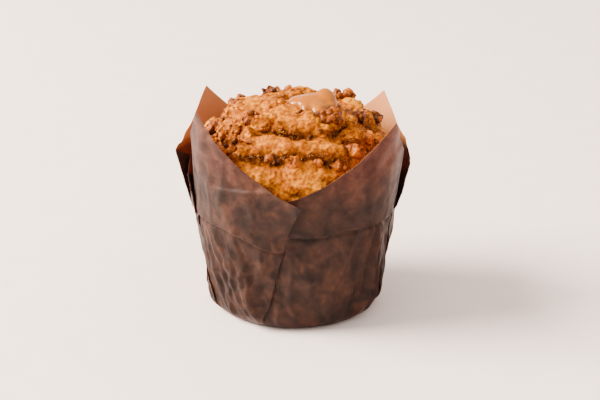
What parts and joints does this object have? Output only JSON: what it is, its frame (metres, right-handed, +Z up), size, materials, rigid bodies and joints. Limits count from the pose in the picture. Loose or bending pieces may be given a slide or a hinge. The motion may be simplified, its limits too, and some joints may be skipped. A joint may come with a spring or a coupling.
{
  "type": "muffin",
  "caption": "Domed streusel muffin with a caramel chunk on top, standing in a pleated tulip cup of brown baking paper with pointed corners.",
  "frame": {"origin": "on the table under the middle of the base", "axes": "+Z up out of the muffin's top, -Y towards the front, where the wide pleat shows, +X to the right"},
  "size_m": [0.0875, 0.0859, 0.0838],
  "materials": {
    "baking_paper": "satin",
    "crumb": "matte",
    "streusel": "matte",
    "caramel": "gloss"
  },
  "bodies": {
    "root": {"tulip_wrapper": "baking_paper", "muffin_body": "crumb", "caramel_chunk": "caramel", "streusel_01": "streusel", "streusel_02": "streusel", "streusel_03": "streusel", "streusel_04": "streusel", "streusel_05": "streusel", "streusel_06": "streusel", "streusel_07": "streusel", "streusel_08": "streusel", "streusel_09": "streusel", "streusel_10": "streusel", "streusel_11": "streusel", "streusel_12": "streusel", "streusel_13": "streusel", "streusel_14": "streusel", "streusel_15": "streusel", "streusel_16": "streusel", "streusel_17": "streusel", "streusel_18": "streusel", "streusel_19": "streusel", "streusel_20": "streusel", "streusel_21": "streusel", "streusel_22": "streusel", "streusel_23": "streusel", "streusel_24": "streusel", "streusel_25": "streusel", "streusel_26": "streusel", "streusel_27": "streusel"}
  },
  "joints": []
}
